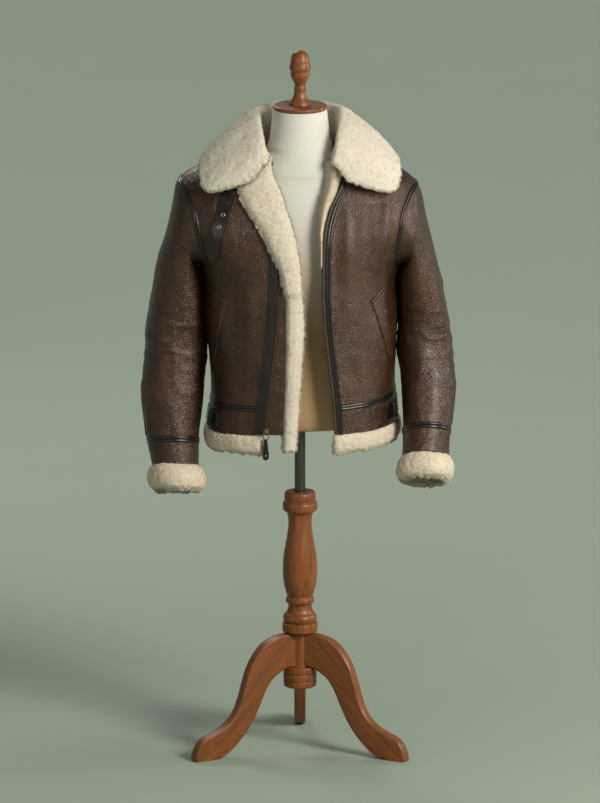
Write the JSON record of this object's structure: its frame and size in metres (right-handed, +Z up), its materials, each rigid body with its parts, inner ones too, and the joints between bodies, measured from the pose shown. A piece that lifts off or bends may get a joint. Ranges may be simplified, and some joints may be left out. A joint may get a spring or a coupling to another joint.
{
  "type": "shearling coat on a limbless dress form",
  "caption": "Brown leather shearling flight jacket with cream fur collar, lapel and cuffs, worn open on a limbless dress form with a turned wooden tripod stand.",
  "frame": {"origin": "centre of the bounding box's bottom, on the floor between the three feet", "axes": "+Z up, -Y the way the jacket's front faces, +X towards the wearer's left"},
  "size_m": [0.6285, 0.4124, 1.4295],
  "materials": {
    "brown_leather": "waxed, mottled and lightly cracked",
    "black_leather": "smooth, semi-gloss",
    "wool": "clipped sheepskin pile",
    "zip_tape": "woven tape",
    "brass": "antique",
    "nickel": "polished nickel",
    "linen": "fine woven cover",
    "wood": "satin varnish",
    "chrome": "polished"
  },
  "bodies": {
    "stand": {"column": "wood", "leg_1": "wood", "leg_2": "wood", "leg_3": "wood"},
    "pole": {"pole": "chrome"},
    "figure": {"form_torso": "linen", "neck_cap": "wood", "finial": "wood", "front_left": "brown_leather", "front_right": "brown_leather", "back": "brown_leather", "sleeve_left": "brown_leather", "sleeve_right": "brown_leather", "cuff_left": "brown_leather", "cuff_right": "brown_leather", "cuff_tape_left": "black_leather", "cuff_tape_right": "black_leather", "cuff_fur_left": "wool", "cuff_fur_right": "wool", "waistband_left": "brown_leather", "waistband_right": "brown_leather", "waistband_back": "brown_leather", "waist_tape_left": "black_leather", "waist_tape_right": "black_leather", "waist_tape_back": "black_leather", "hem_fur": "wool", "collar": "wool", "front_edge_fur_left": "wool", "front_edge_fur_right": "wool", "placket_left": "black_leather", "placket_right": "black_leather", "wind_flap": "brown_leather", "armhole_tape_left": "black_leather", "armhole_tape_right": "black_leather", "pocket_welt_left": "brown_leather", "pocket_welt_right": "brown_leather", "throat_strap": "black_leather", "throat_eyelet_1": "nickel", "throat_eyelet_2": "nickel", "throat_eyelet_3": "nickel", "throat_eyelet_4": "nickel", "side_strap_left": "black_leather", "side_strap_right": "black_leather", "side_buckle_left": "nickel", "side_buckle_right": "nickel", "zip_left": "zip_tape", "zip_right": "zip_tape", "zip_slider": "brass", "zip_bridge": "brass"},
    "zip_pull_tab": {"zip_link": "brass", "zip_pull": "black_leather", "pull_rivet": "nickel"}
  },
  "joints": [
    {"name": "pole_height", "type": "slide", "parent": "stand", "child": "pole", "axis": [0, 0, 1], "range_m": [-0.1, 0.08]},
    {"name": "form_swivel", "type": "hinge", "parent": "pole", "child": "figure", "pos_m": [0.0035, -0.0409, 0.69], "axis": [0, 0, 1], "continuous": true},
    {"name": "zip_pull_swing", "type": "hinge", "parent": "figure", "child": "zip_pull_tab", "pos_m": [-0.0648, -0.1945, 0.6814], "axis": [-1, 0, 0], "range_deg": [0, 150]}
  ]
}
